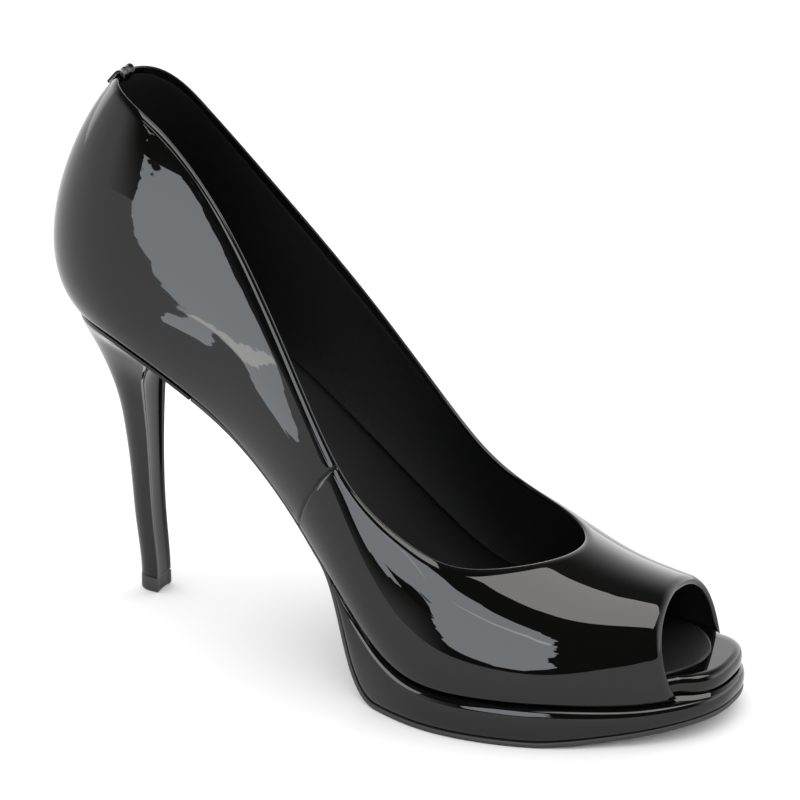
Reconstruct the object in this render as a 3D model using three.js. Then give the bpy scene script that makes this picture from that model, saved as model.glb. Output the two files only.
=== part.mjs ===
import * as THREE from "three";

// A peep toe pump for the left foot. X runs from the heel to the toe, Y to the outer side, Z up.

// Sizes in millimetres.
const SHOE_LENGTH = 222; // back of the seat to the toe, level
const BALL_WIDTH = 80; // width that the half widths below are shares of
const HEEL_HEIGHT = 97; // floor to the rim of the seat at the back
const COUNTER_HEIGHT = 73.5; // rim of the seat to the collar at the back
const CONE_HEIGHT = 100; // height that the heights of the ridge are shares of
const OUTSOLE_THICKNESS = 1.8;
const PLATFORM_HEIGHT = 10.4;
const INSOLE_RIM = 5.9; // thickness of the insole where it shows at the toe
const INSOLE_WAIST = 2.4; // thickness of the insole under the arch and the heel
const UPPER_WALL = 1.6; // outer leather and lining together
const UPPER_LIFT = 0.5; // lower edge of the upper over the rim that it stands on
const UPPER_DROP = 1.2; // how far that edge comes down over the shoulder of the platform
const LIP_WALL = 2.6; // folded edge round the toe opening
const LIP_DEPTH = 6; // where that edge has thinned out to the wall
const TOE_SPRING = 5.5; // rise of the tread at the tip of the toe
const RIM_SPRING = 1.1; // rise of the rim that the upper stands on, at the tip of the toe
const PLATFORM_REAR = 0.9; // thickness at which the platform starts under the waist
const SOLE_EDGE = 4; // sole outside the rim of the last at its widest
const INSOLE_INSET = 2; // insole inside the rim of the last
const TOP_PIECE_HEIGHT = 5;
const HEEL_LIP = 1.2; // thickness of the heel's front edge under the seat
const TAB_HALF_WIDTH = 4;
const TAB_DROP = 3.8; // how far the tab comes down from the collar, inside and outside
const TAB_THICKNESS = 0.9;
const TAB_INSIDE_GAP = 0.9; // more room on the hollow side of the collar, which has flat facets
const TAB_GAP = 0.6; // between the tab and the collar that it wraps
const GAP = 0.3; // between two pieces that meet

// Stations along the shoe, shares of SHOE_LENGTH.
const SEAT_CENTRE = 0.172; // where the seat is widest, centre of the round of the heel
const HEEL_BREAST = 0.239;
const THROAT = 0.788; // front of the collar, on the ridge
const TOE_OPENING = 0.921; // upper edge of the toe opening, on the ridge
const TOE_ROUND = 0.9; // where the plan of the toe starts to close
const INNER_SLANT = 0.037; // how far the inner side of the toe opening runs forward
const OUTER_SLANT = 0.03; // and its outer side
const TIP_INSET = 1.4; // tip of the last behind the end of SHOE_LENGTH, mm
const TOE_MARGIN = 2.3; // platform in front of the tip of the last, mm
const SEAT_INSET = 4.4; // rim of the seat in front of the back of the counter, mm
const TIP_SHIFT = 6.5; // tip of the toe to the outer side of the middle line, mm

const ROUND_POWER = 2.2; // fullness of the round of the heel in plan
const TOE_POWER = 2.5; // fullness of the round of the toe in plan
const INNER_OPENING = 1.05; // curve of the inner side of the toe opening, 1 is straight
const OUTER_OPENING = 2; // and of its outer side

const HALF_RINGS = 56; // ribs of the upper from the toe opening to the back seam
const RIB_STEPS = 11; // steps of each rib from the lower edge to the collar

// Table values are shares, chosen by hand.
// Rim of the last over the floor: 1 at the seat, 0 at the ball.
const RIM = table(
  ["station", "rise"],
  [
    [-0.06, 1.0],
    [0.02, 0.999],
    [0.1, 0.983],
    [0.2, 0.875],
    [0.3, 0.712],
    [0.4, 0.48],
    [0.5, 0.221],
    [0.58, 0.054],
    [0.65, 0.004],
    [0.72, 0.0],
    [0.8, 0.0],
  ],
);

// Half widths and bulges are shares of BALL_WIDTH, ridge a share of CONE_HEIGHT,
// lift a share of the ridge, shoulder a share of the half width.
const SECTION = table(
  ["station", "inner", "outer", "innerBulge", "outerBulge", "lift", "ridge", "shoulder"],
  [
    [0.172, 0.298, 0.318, 0.091, 0.091, 0.22, 0.87, 0.9],
    [0.3, 0.295, 0.325, 0.12, 0.1, 0.24, 0.88, 0.9],
    [0.42, 0.346, 0.373, 0.136, 0.095, 0.26, 0.804, 0.86],
    [0.54, 0.458, 0.446, 0.098, 0.073, 0.28, 0.627, 0.8],
    [0.64, 0.528, 0.484, 0.056, 0.046, 0.3, 0.503, 0.76],
    [0.74, 0.504, 0.454, 0.037, 0.037, 0.3, 0.407, 0.77],
    [0.84, 0.403, 0.372, 0.032, 0.032, 0.3, 0.328, 0.84],
    [0.94, 0.262, 0.292, 0.029, 0.035, 0.3, 0.272, 0.98],
    [1.02, 0.205, 0.236, 0.029, 0.035, 0.3, 0.235, 0.98],
  ],
);
const BACK_BULGE = 0.285; // share of BALL_WIDTH
const BACK_SHOULDER = 0.74; // share of the reach of the round

// Collar over the rim of the last, shares of COUNTER_HEIGHT, behind the throat.
const COLLAR_ROWS = [
  [0.0, 1.035, 1.035],
  [0.09, 1.035, 1.035],
  [0.16, 1.013, 0.937],
  [0.28, 0.895, 0.742],
  [0.4, 0.678, 0.662],
  [0.5, 0.525, 0.624],
  [0.58, 0.52, 0.598],
  [0.65, 0.49, 0.541],
];

// Underside of the sole: share of the height of the rim that it follows, 0 flat on the floor.
const UNDERSIDE = table(
  ["station", "share"],
  [
    [0.44, 1.0],
    [0.47, 0.975],
    [0.488, 0.79],
    [0.503, 0.53],
    [0.52, 0.27],
    [0.54, 0.085],
    [0.57, 0.0],
  ],
);

// Share of UPPER_DROP by which the upper comes down over the platform.
const DROP = table(
  ["station", "share"],
  [
    [0.8, 0.0],
    [0.92, 1.0],
  ],
);

// Sole outside the rim of the last, shares of SOLE_EDGE.
const SOLE_MARGIN = table(
  ["station", "margin"],
  [
    [0.2, -0.3],
    [0.44, -0.25],
    [0.54, 0.15],
    [0.62, 0.3],
    [0.7, 0.35],
    [0.8, 0.45],
    [0.9, 0.5],
    [0.96, 0.55],
    [1.0, TOE_MARGIN / SOLE_EDGE],
  ],
);

// Insole inside the rim of the last, shares of INSOLE_INSET, and its thickness between the
// waist (0) and the rim (1).
const INSOLE = table(
  ["station", "inset", "thickness"],
  [
    [0.7, 1.0, 0.0],
    [0.86, 1.0, 0.8],
    [0.92, 1.0, 1.0],
    [0.952, 1.0, 1.0],
    [0.968, 0.05, 1.0],
    [0.985, -0.75, 1.0],
    [1.0, -0.8, 1.0],
  ],
);

// Heel from its lower end (0) to the seat (1). Rear and front are shares of the depth of the
// seat, half a share of its half width, and hollow is the dip of its breast, a share of half.
const HEEL = table(
  ["height", "rear", "front", "half", "hollow"],
  [
    [0.0, 0.391, 0.545, 0.172, 0.1],
    [0.2, 0.359, 0.525, 0.182, 0.14],
    [0.4, 0.333, 0.512, 0.2, 0.16],
    [0.55, 0.302, 0.51, 0.23, 0.17],
    [0.68, 0.257, 0.508, 0.285, 0.17],
    [0.79, 0.18, 0.525, 0.38, 0.14],
    [0.88, 0.105, 0.585, 0.55, 0.09],
    [0.95, 0.04, 0.74, 0.77, 0.04],
    [1.0, 0.006, 1.0, 0.98, 0.03],
  ],
);

const PATENT = { color: 0x0b0b0b, roughness: 0.06, metalness: 0 };
const LEATHER = { color: 0x171615, roughness: 0.45, metalness: 0 };
const RUBBER = { color: 0x2b2825, roughness: 0.7, metalness: 0 };

function lerp(a, b, t) {
  return a + (b - a) * t;
}

// Smooth curve through the rows of one column, level at both ends.
function spline(xs, ys) {
  const n = xs.length;
  const step = xs.slice(1).map((x, i) => x - xs[i]);
  const slope = step.map((h, i) => (ys[i + 1] - ys[i]) / h);
  const diagonal = [];
  const right = [];
  for (let i = 0; i < n; i++) {
    const before = i > 0 ? step[i - 1] : 0;
    const after = i < n - 1 ? step[i] : 0;
    diagonal.push(2 * (before + after));
    right.push(6 * ((i < n - 1 ? slope[i] : 0) - (i > 0 ? slope[i - 1] : 0)));
  }
  for (let i = 1; i < n; i++) {
    const share = step[i - 1] / diagonal[i - 1];
    diagonal[i] -= share * step[i - 1];
    right[i] -= share * right[i - 1];
  }
  const bend = new Array(n).fill(0);
  for (let i = n - 1; i >= 0; i--) {
    const next = i < n - 1 ? step[i] * bend[i + 1] : 0;
    bend[i] = (right[i] - next) / diagonal[i];
  }
  return (x) => {
    if (x <= xs[0]) return ys[0];
    if (x >= xs[n - 1]) return ys[n - 1];
    let i = 0;
    while (x > xs[i + 1]) i++;
    const h = step[i];
    const a = (xs[i + 1] - x) / h;
    const b = (x - xs[i]) / h;
    const curve = (a ** 3 - a) * bend[i] + (b ** 3 - b) * bend[i + 1];
    return a * ys[i] + b * ys[i + 1] + (curve * h * h) / 6;
  };
}

function table(names, rows) {
  const stations = rows.map((row) => row[0]);
  const columns = {};
  names.slice(1).forEach((name, k) => {
    columns[name] = spline(
      stations,
      rows.map((row) => row[k + 1]),
    );
  });
  return columns;
}

const seatCentre = SEAT_CENTRE * SHOE_LENGTH;
const lastTip = SHOE_LENGTH - TIP_INSET;
const ballTop = OUTSOLE_THICKNESS + GAP + PLATFORM_HEIGHT + GAP;

function towardsTip(x) {
  return Math.max(0, (x / SHOE_LENGTH - 0.8) / 0.2);
}

// Height of the rim of the last, where the upper meets the sole.
function rimHeight(x) {
  const rise = RIM.rise(x / SHOE_LENGTH);
  return ballTop + (HEEL_HEIGHT - ballTop) * rise + RIM_SPRING * towardsTip(x) ** 2;
}

// Share of the plan's width that is left as the toe closes.
function toeClosing(x) {
  const start = TOE_ROUND * SHOE_LENGTH;
  const t = Math.min(1, Math.max(0, (x - start) / (lastTip - start)));
  return (1 - t ** TOE_POWER) ** (1 / TOE_POWER);
}

// The middle line moves to the outer side towards the tip.
function middleLine(x) {
  const t = Math.max(0, (x / SHOE_LENGTH - 0.78) / 0.22);
  return TIP_SHIFT * t ** 2;
}

function upperDrop(x) {
  return UPPER_DROP * DROP.share(x / SHOE_LENGTH);
}

function halfWidth(x, side) {
  const u = x / SHOE_LENGTH;
  const share = side < 0 ? SECTION.inner(u) : SECTION.outer(u);
  return share * BALL_WIDTH * toeClosing(x);
}

// A point of the last. In front of the seat's centre, along is the distance from it and the
// sections stand square to the shoe. Behind it they turn round the heel. Around runs from the
// rim (0) to the ridge (1).
function lastPoint(along, around, side) {
  const turn = Math.max(0, -along) / seatCentre;
  const x = seatCentre + Math.max(0, along);
  const u = x / SHOE_LENGTH;
  const half = halfWidth(x, side);
  const sin = Math.sin(turn);
  const cos = Math.cos(turn);
  const back = sin * sin;
  const deep = Math.abs(sin / (seatCentre - SEAT_INSET)) ** ROUND_POWER;
  const wide = Math.abs(cos / half) ** ROUND_POWER;
  const reach = along > 0 ? half : (deep + wide) ** (-1 / ROUND_POWER);
  const sideBulge = side < 0 ? SECTION.innerBulge(u) : SECTION.outerBulge(u);
  const bulge = lerp(sideBulge, BACK_BULGE, back) * BALL_WIDTH;
  const ridge = SECTION.ridge(u) * CONE_HEIGHT;
  const lift = SECTION.lift(u) * ridge;
  const shoulder = lerp(SECTION.shoulder(u), BACK_SHOULDER, back);
  const rest = 1 - around;
  const b0 = rest ** 3;
  const b1 = 3 * rest ** 2 * around;
  const b2 = 3 * rest * around ** 2;
  const b3 = around ** 3;
  const out = reach * b0 + (reach + bulge) * b1 + reach * shoulder * b2;
  const foot = UPPER_LIFT - upperDrop(x) * b0;
  const height = rimHeight(x - reach * sin) + foot + lift * b1 + ridge * (b2 + b3);
  return new THREE.Vector3(x - out * sin, side * out * cos + middleLine(x), height);
}

// Unit vector out of the last.
function lastNormal(along, around, side) {
  const e = 0.002;
  const du = lastPoint(along + 0.1, around, side).sub(lastPoint(along - 0.1, around, side));
  const dv = lastPoint(along, around + e, side).sub(lastPoint(along, around - e, side));
  const normal = du.cross(dv).normalize();
  return side < 0 ? normal : normal.negate();
}

// Height of the collar over the floor, for a side of the shoe.
const throatShare = (SECTION.ridge(THROAT) * CONE_HEIGHT) / COUNTER_HEIGHT;
const COLLAR = table(
  ["station", "inner", "outer"],
  [...COLLAR_ROWS, [THROAT, throatShare, throatShare], [THROAT + 0.06, throatShare, throatShare]],
);

function collarHeight(x, side) {
  const u = x / SHOE_LENGTH;
  const share = side < 0 ? COLLAR.inner(u) : COLLAR.outer(u);
  return rimHeight(x) + UPPER_LIFT + COUNTER_HEIGHT * share;
}

// How far round the last the collar lies, from the rim (0) to the ridge (1).
function collarAround(along, side) {
  let low = 0;
  let high = 1;
  for (let i = 0; i < 40; i++) {
    const middle = (low + high) / 2;
    const p = lastPoint(along, middle, side);
    if (p.z > collarHeight(p.x, side)) high = middle;
    else low = middle;
  }
  return (low + high) / 2;
}

// A path over the last as pairs [along, around], read by the share of its length.
function pathOverLast(pairs, side) {
  const lengths = [0];
  for (let i = 1; i < pairs.length; i++) {
    const a = lastPoint(...pairs[i - 1], side);
    const b = lastPoint(...pairs[i], side);
    lengths.push(lengths[i - 1] + a.distanceTo(b));
  }
  const total = lengths[lengths.length - 1];
  return (share) => {
    const wanted = share * total;
    let i = 1;
    while (i < pairs.length - 1 && lengths[i] < wanted) i++;
    const t = (wanted - lengths[i - 1]) / (lengths[i] - lengths[i - 1]);
    return [lerp(pairs[i - 1][0], pairs[i][0], t), lerp(pairs[i - 1][1], pairs[i][1], t)];
  };
}

const backSeam = (-Math.PI / 2) * seatCentre;
const openingAlong = TOE_OPENING * SHOE_LENGTH - seatCentre;
const throatAlong = THROAT * SHOE_LENGTH - seatCentre;

// Lower edge of the upper: round the toe opening, then along the rim to the back seam.
function lowerEdge(side) {
  const pairs = [];
  const slant = (side < 0 ? INNER_SLANT : OUTER_SLANT) * SHOE_LENGTH;
  const curve = side < 0 ? INNER_OPENING : OUTER_OPENING;
  for (let i = 0; i < 60; i++) {
    const around = 1 - i / 60;
    pairs.push([openingAlong + slant * (1 - around) ** curve, around]);
  }
  for (let i = 0; i <= 300; i++) {
    pairs.push([lerp(openingAlong + slant, backSeam, i / 300), 0]);
  }
  return pathOverLast(pairs, side);
}

function collarEdge(side) {
  const pairs = [[throatAlong, 1]];
  for (let i = 1; i <= 300; i++) {
    const along = lerp(throatAlong, backSeam, (i / 300) ** 1.6);
    pairs.push([along, collarAround(along, side)]);
  }
  return pathOverLast(pairs, side);
}

// Shares of the edges at which the ribs stand, closer together round the toe opening.
function ribShares() {
  const shares = [];
  for (let i = 0; i <= HALF_RINGS; i++) {
    const t = i / HALF_RINGS;
    shares.push(0.55 * t + 0.45 * t ** 1.8);
  }
  return shares;
}

// One closed section of the upper: up its outer face, over the collar and down its lining.
function upperSection(lower, upper, side) {
  const outer = [];
  const inner = [];
  const lip = Math.min(1, Math.max(0, (lower[1] - 0.12) / 0.1)) * (LIP_WALL - UPPER_WALL);
  const foot = lastPoint(...lower, side);
  for (let j = 0; j <= RIB_STEPS; j++) {
    const t = j / RIB_STEPS;
    const along = lerp(lower[0], upper[0], t);
    const around = lerp(lower[1], upper[1], t);
    const p = lastPoint(along, around, side);
    const n = lastNormal(along, around, side);
    const wall = UPPER_WALL + lip * Math.max(0, 1 - foot.distanceTo(p) / LIP_DEPTH);
    outer.push(p);
    inner.push(p.clone().addScaledVector(n, -wall));
  }
  const rim = (a, b, c) => {
    const direction = a.clone().sub(c).normalize();
    return a.clone().lerp(b, 0.5).addScaledVector(direction, 0.25 * UPPER_WALL);
  };
  const top = rim(outer[RIB_STEPS], inner[RIB_STEPS], outer[RIB_STEPS - 1]);
  const bottom = rim(outer[0], inner[0], outer[1]);
  return [...outer, top, ...inner.reverse(), bottom];
}

// Solid round a closed loop of closed sections.
function solidFromLoop(sections) {
  return solidFromQuads(sections, true);
}

// Solid between closed rings stacked on each other, with both ends filled across.
function solidFromRings(rings) {
  return solidFromQuads(rings, false);
}

function solidFromQuads(rings, closed) {
  const points = rings.flat();
  const n = rings[0].length;
  const index = [];
  const last = closed ? rings.length : rings.length - 1;
  for (let j = 0; j < last; j++) {
    for (let i = 0; i < n; i++) {
      const a = j * n + i;
      const b = j * n + ((i + 1) % n);
      const c = ((j + 1) % rings.length) * n + ((i + 1) % n);
      const d = ((j + 1) % rings.length) * n + i;
      index.push(a, b, c, a, c, d);
    }
  }
  if (!closed) {
    fillEnd(index, 0, n, true);
    fillEnd(index, (rings.length - 1) * n, n, false);
  }
  if (volume(points, index) < 0) {
    for (let i = 0; i < index.length; i += 3) {
      [index[i + 1], index[i + 2]] = [index[i + 2], index[i + 1]];
    }
  }
  const positions = new Float32Array(points.length * 3);
  points.forEach((p, i) => positions.set([p.x, p.y, p.z], 3 * i));
  const geometry = new THREE.BufferGeometry();
  geometry.setAttribute("position", new THREE.BufferAttribute(positions, 3));
  geometry.setIndex(index);
  return geometry;
}

// Rungs across a ring whose two halves mirror each other from its first point on.
function fillEnd(index, start, n, reversed) {
  for (let i = 0; i < n / 2; i++) {
    const a = start + i;
    const b = start + i + 1;
    const c = start + ((n - i - 1) % n);
    const d = start + ((n - i) % n);
    const triangles = [];
    if (b !== c) triangles.push([a, b, c]);
    if (a !== d) triangles.push([a, c, d]);
    for (const [p, q, r] of triangles) {
      if (reversed) index.push(p, r, q);
      else index.push(p, q, r);
    }
  }
}

function volume(points, index) {
  let sum = 0;
  for (let i = 0; i < index.length; i += 3) {
    const [a, b, c] = [points[index[i]], points[index[i + 1]], points[index[i + 2]]];
    sum += a.dot(b.clone().cross(c));
  }
  return sum / 6;
}

// Plan of the last's rim as half a loop, from the rear to the tip, with its outward direction.
function planHalf(side, from, steps) {
  const pairs = [];
  const tipSteps = Math.round(steps / 4);
  const closing = TOE_ROUND * SHOE_LENGTH;
  const start = from === null ? backSeam : from - seatCentre;
  const bodySteps = steps - tipSteps;
  for (let i = 0; i < bodySteps; i++) {
    pairs.push(lerp(start, closing - seatCentre, i / bodySteps));
  }
  for (let i = 0; i <= tipSteps; i++) {
    const s = 1 - i / tipSteps;
    pairs.push(lastTip - (lastTip - closing) * s ** TOE_POWER - seatCentre);
  }
  const points = pairs.map((along) => lastPoint(along, 0, side));
  return points.map((p, i) => {
    const before = points[Math.max(0, i - 1)];
    const after = points[Math.min(points.length - 1, i + 1)];
    let out = new THREE.Vector2(after.y - before.y, -(after.x - before.x)).normalize();
    if (side > 0) out.negate();
    if (i === points.length - 1) out = new THREE.Vector2(1, 0);
    if (i === 0) out = from === null ? new THREE.Vector2(-1, 0) : new THREE.Vector2(0, side);
    return { x: p.x, y: p.y, out };
  });
}

// One ring of a flat piece: the plan moved out by offset(x, side), at height(x).
function planRing(from, steps, offset, height) {
  const halves = [-1, 1].map((side) =>
    planHalf(side, from, steps).map(({ x, y, out }) => {
      const d = offset(x, side);
      const moved = x + out.x * d;
      return new THREE.Vector3(moved, y + out.y * d, height(moved));
    }),
  );
  const [inner, outer] = halves;
  const middle = from === null ? [] : [inner[0].clone().lerp(outer[0], 0.5)];
  const back = from === null ? outer.slice(1, -1).reverse() : outer.slice(0, -1).reverse();
  return [...middle, ...inner, ...back];
}

// Height of the sole's profile, moved up from its underside by a thickness square to it.
function underside(x) {
  const share = UNDERSIDE.share(x / SHOE_LENGTH);
  const full = rimHeight(x) - GAP - OUTSOLE_THICKNESS;
  return full * share + TOE_SPRING * towardsTip(x) ** 1.3;
}

function profileAbove(thickness) {
  const points = [];
  for (let i = 0; i <= 600; i++) {
    const x = lerp(0, SHOE_LENGTH * 1.05, i / 600);
    const slope = (underside(x + 0.1) - underside(x - 0.1)) / 0.2;
    const length = Math.hypot(1, slope);
    points.push([x - (slope / length) * thickness, underside(x) + thickness / length]);
  }
  return (x) => {
    let i = 1;
    while (i < points.length - 1 && points[i][0] < x) i++;
    const [x0, z0] = points[i - 1];
    const [x1, z1] = points[i];
    return lerp(z0, z1, (x - x0) / (x1 - x0));
  };
}

const outsoleTop = profileAbove(OUTSOLE_THICKNESS);
const platformBottom = profileAbove(OUTSOLE_THICKNESS + GAP);
const soleMargin = (x) => SOLE_EDGE * SOLE_MARGIN.margin(x / SHOE_LENGTH);
const insoleEdge = (x, side) => {
  const u = x / SHOE_LENGTH;
  const shift = side < 0 ? (INNER_SLANT - OUTER_SLANT) * Math.min(1, (1 - u) / 0.04) : 0;
  return -INSOLE_INSET * INSOLE.inset(u - shift);
};
const breast = HEEL_BREAST * SHOE_LENGTH;

function upper() {
  const lateral = { lower: lowerEdge(1), upper: collarEdge(1) };
  const medial = { lower: lowerEdge(-1), upper: collarEdge(-1) };
  const shares = ribShares();
  const sections = [];
  for (let i = 0; i <= HALF_RINGS; i++) {
    sections.push(upperSection(lateral.lower(shares[i]), lateral.upper(shares[i]), 1));
  }
  for (let i = HALF_RINGS - 1; i > 0; i--) {
    sections.push(upperSection(medial.lower(shares[i]), medial.upper(shares[i]), -1));
  }
  return solidFromLoop(sections);
}

function insole() {
  const thickness = (x) => {
    const share = INSOLE.thickness(x / SHOE_LENGTH);
    return lerp(INSOLE_WAIST, INSOLE_RIM, share);
  };
  const ring = (share, inwards) =>
    planRing(
      null,
      56,
      (x, side) => insoleEdge(x, side) - inwards * INSOLE_RIM,
      (x) => rimHeight(x) + share * thickness(x),
    );
  return solidFromRings([
    ring(0, 0.11),
    ring(0.15, 0),
    ring(0.62, 0),
    ring(0.86, 0.1),
    ring(1, 0.32),
  ]);
}

function outsole() {
  const top = (x) => Math.min(outsoleTop(x), rimHeight(x) - GAP);
  const ring = (share, inwards) =>
    planRing(
      breast + GAP,
      56,
      (x) => soleMargin(x) - inwards * OUTSOLE_THICKNESS,
      (x) => lerp(underside(x), top(x), share),
    );
  return solidFromRings([ring(0, 0.23), ring(0.3, 0), ring(1, 0)]);
}

// Where the platform is thick enough to start, behind the ball.
function platformRear() {
  let x = 0.44 * SHOE_LENGTH;
  while (rimHeight(x) - GAP - platformBottom(x) < PLATFORM_REAR) x += 0.001 * SHOE_LENGTH;
  return x;
}

function platform() {
  const rear = platformRear();
  const top = (x) => rimHeight(x) - GAP;
  const shoulder = (x) => top(x) - upperDrop(x);
  const fullness = (x) => Math.min(1, (top(x) - platformBottom(x)) / PLATFORM_HEIGHT);
  const ring = (share, inwards) =>
    planRing(
      rear,
      52,
      (x, side) => {
        const offset = soleMargin(x) - inwards * PLATFORM_HEIGHT * fullness(x);
        return Math.max(offset, insoleEdge(x, side) + 0.7 * GAP);
      },
      (x) => lerp(platformBottom(x), shoulder(x), share),
    );
  return solidFromRings([
    ring(0, 0.04),
    ring(0.08, 0),
    ring(0.45, -0.035),
    ring(0.78, 0),
    ring(0.93, 0.06),
    ring(1, 0.16),
    planRing(rear, 52, (x, side) => insoleEdge(x, side) + 0.5 * GAP, shoulder),
    planRing(rear, 52, insoleEdge, top),
  ]);
}

// Ring of the heel at a share of its height: the seat's outline drawn in, with a hollow breast.
function heelRing(share, grow = 0, steps = 14) {
  const inset = GAP;
  const half = (side) => {
    const points = [];
    for (let i = 0; i <= steps; i++) {
      const along = lerp(backSeam, breast - seatCentre, (i / steps) ** 1.1);
      const p = lastPoint(along, 0, side);
      points.push([p.x / breast, p.y / (halfWidth(seatCentre, side) + inset)]);
    }
    return points;
  };
  const rear = HEEL.rear(share) * breast - grow;
  const front = HEEL.front(share) * breast + grow;
  const wide = HEEL.half(share) * halfWidth(seatCentre, -1) + grow;
  const hollow = HEEL.hollow(share) * wide;
  const place = ([a, b]) => new THREE.Vector3(lerp(rear, front, a), b * wide, 0);
  const inner = half(-1).map(place);
  const outer = half(1).map(place);
  const edge = [];
  for (const t of [0.12, 0.3, 0.5, 0.7, 0.88]) {
    const p = inner[steps].clone().lerp(outer[steps], t);
    p.x -= hollow * Math.sin(Math.PI * t);
    edge.push(p);
  }
  return [...inner, ...edge, ...outer.slice(1).reverse()];
}

function heel() {
  const bottom = TOP_PIECE_HEIGHT + GAP;
  const shares = [0, 0.08, 0.2, 0.32, 0.44, 0.55, 0.64, 0.72, 0.79, 0.85, 0.9, 0.94, 0.97, 1];
  const rings = shares.map((share) =>
    heelRing(share).map((p) => {
      p.z = lerp(bottom, rimHeight(p.x) - GAP, share);
      return p;
    }),
  );
  // The lip in front of the seat keeps a thickness.
  const seat = rings[rings.length - 1];
  const under = seat.map((p) => new THREE.Vector3(p.x, p.y, p.z - HEEL_LIP));
  return solidFromRings([...rings.slice(0, -1), under, seat]);
}

function topPiece() {
  const ring = (height, grow) =>
    heelRing(0, grow * TOP_PIECE_HEIGHT, 8).map((p) => {
      p.z = height * TOP_PIECE_HEIGHT;
      return p;
    });
  return solidFromRings([
    ring(0, -0.06),
    ring(0.1, 0.02),
    ring(0.9, 0.02),
    ring(1, -0.04),
  ]);
}

// Path of the tab over the collar, at a distance out of both faces of the wall.
function tabPath(along, side, distance) {
  const top = collarAround(along, side);
  const ridge = lastPoint(along, top, side);
  const drop = TAB_DROP / ridge.distanceTo(lastPoint(along, top - 0.02, side));
  const points = [];
  const steps = 4;
  for (let i = 0; i <= steps; i++) {
    const around = top - 0.02 * drop * (1 - i / steps);
    const n = lastNormal(along, around, side);
    points.push(lastPoint(along, around, side).addScaledVector(n, distance));
  }
  const out = lastNormal(along, top, side);
  const up = ridge.clone().sub(lastPoint(along, top - 0.01, side)).normalize();
  const centre = ridge.clone().addScaledVector(out, -(UPPER_WALL + TAB_INSIDE_GAP) / 2);
  for (let i = 1; i < 6; i++) {
    const turn = (Math.PI * i) / 6;
    const reach = (UPPER_WALL + TAB_INSIDE_GAP) / 2 + distance;
    const p = centre.clone().addScaledVector(out, reach * Math.cos(turn));
    points.push(p.addScaledVector(up, reach * Math.sin(turn)));
  }
  for (let i = steps; i >= 0; i--) {
    const around = top - 0.02 * drop * (1 - i / steps);
    const n = lastNormal(along, around, side);
    const inwards = -UPPER_WALL - TAB_INSIDE_GAP - distance;
    points.push(lastPoint(along, around, side).addScaledVector(n, inwards));
  }
  return points;
}

function backTab() {
  const rings = [];
  const steps = 4;
  const top = collarAround(backSeam, 1);
  const pace = lastPoint(backSeam + 1, top, 1).distanceTo(lastPoint(backSeam, top, 1));
  for (let i = -steps; i <= steps; i++) {
    const side = i < 0 ? -1 : 1;
    const along = backSeam + (TAB_HALF_WIDTH * Math.abs(i)) / steps / pace;
    const over = tabPath(along, side, TAB_GAP + TAB_THICKNESS);
    const under = tabPath(along, side, TAB_GAP);
    const last = over.length - 1;
    const start = over[0].clone().lerp(under[0], 0.5);
    const end = over[last].clone().lerp(under[last], 0.5);
    rings.push([start, ...over, end, ...under.reverse()]);
  }
  return solidFromRings(rings);
}

const pieces = [
  ["outsole", outsole(), RUBBER],
  ["platform", platform(), PATENT],
  ["insole", insole(), LEATHER],
  ["upper", upper(), PATENT],
  ["heel", heel(), PATENT],
  ["top_piece", topPiece(), RUBBER],
  ["back_tab", backTab(), PATENT],
];

// The frame's origin lies under the middle of the whole shoe, on the floor.
const box = new THREE.Box3();
for (const [, geometry] of pieces) {
  geometry.computeBoundingBox();
  box.union(geometry.boundingBox);
}
const middle = box.getCenter(new THREE.Vector3());

const pump = new THREE.Group();
pump.name = "peep_toe_pump";
for (const [name, geometry, look] of pieces) {
  geometry.translate(-middle.x, -middle.y, -box.min.z);
  geometry.computeVertexNormals();
  const mesh = new THREE.Mesh(geometry, new THREE.MeshStandardMaterial(look));
  mesh.name = name;
  pump.add(mesh);
}

export default pump;
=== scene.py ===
import math

import bmesh
import bpy
from mathutils import Matrix, Vector


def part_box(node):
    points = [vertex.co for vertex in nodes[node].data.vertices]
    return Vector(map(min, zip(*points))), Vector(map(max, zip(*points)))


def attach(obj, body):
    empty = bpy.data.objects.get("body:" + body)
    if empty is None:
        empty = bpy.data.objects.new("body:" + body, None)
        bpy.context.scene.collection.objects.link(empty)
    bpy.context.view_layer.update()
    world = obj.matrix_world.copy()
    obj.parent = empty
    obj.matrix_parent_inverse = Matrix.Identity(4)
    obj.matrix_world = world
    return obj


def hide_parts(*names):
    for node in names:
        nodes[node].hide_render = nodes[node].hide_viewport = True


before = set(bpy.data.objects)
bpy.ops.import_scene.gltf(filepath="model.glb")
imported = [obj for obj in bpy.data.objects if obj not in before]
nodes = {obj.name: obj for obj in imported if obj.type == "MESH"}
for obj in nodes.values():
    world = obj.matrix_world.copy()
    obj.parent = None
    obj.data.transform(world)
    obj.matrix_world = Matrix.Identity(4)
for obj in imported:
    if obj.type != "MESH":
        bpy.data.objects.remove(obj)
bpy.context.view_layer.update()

# Sizes of the shoe in millimetres, as in the part's source.
SHOE_LENGTH = 222.0
BALL_WIDTH = 80.0
HEEL_HEIGHT = 97.0
COUNTER_HEIGHT = 73.5
CONE_HEIGHT = 100.0
OUTSOLE_THICKNESS = 1.8
PLATFORM_HEIGHT = 10.4
INSOLE_RIM = 5.9
INSOLE_WAIST = 2.4
UPPER_WALL = 1.6
UPPER_LIFT = 0.5
UPPER_DROP = 1.2
LIP_WALL = 2.6
LIP_DEPTH = 6.0
TOE_SPRING = 5.5
RIM_SPRING = 1.1
PLATFORM_REAR = 0.9
SOLE_EDGE = 4.0
INSOLE_INSET = 2.0
TOP_PIECE_HEIGHT = 5.0
HEEL_LIP = 1.2
TAB_HALF_WIDTH = 4.0
TAB_DROP = 3.8
TAB_THICKNESS = 0.9
GAP = 0.3

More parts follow.
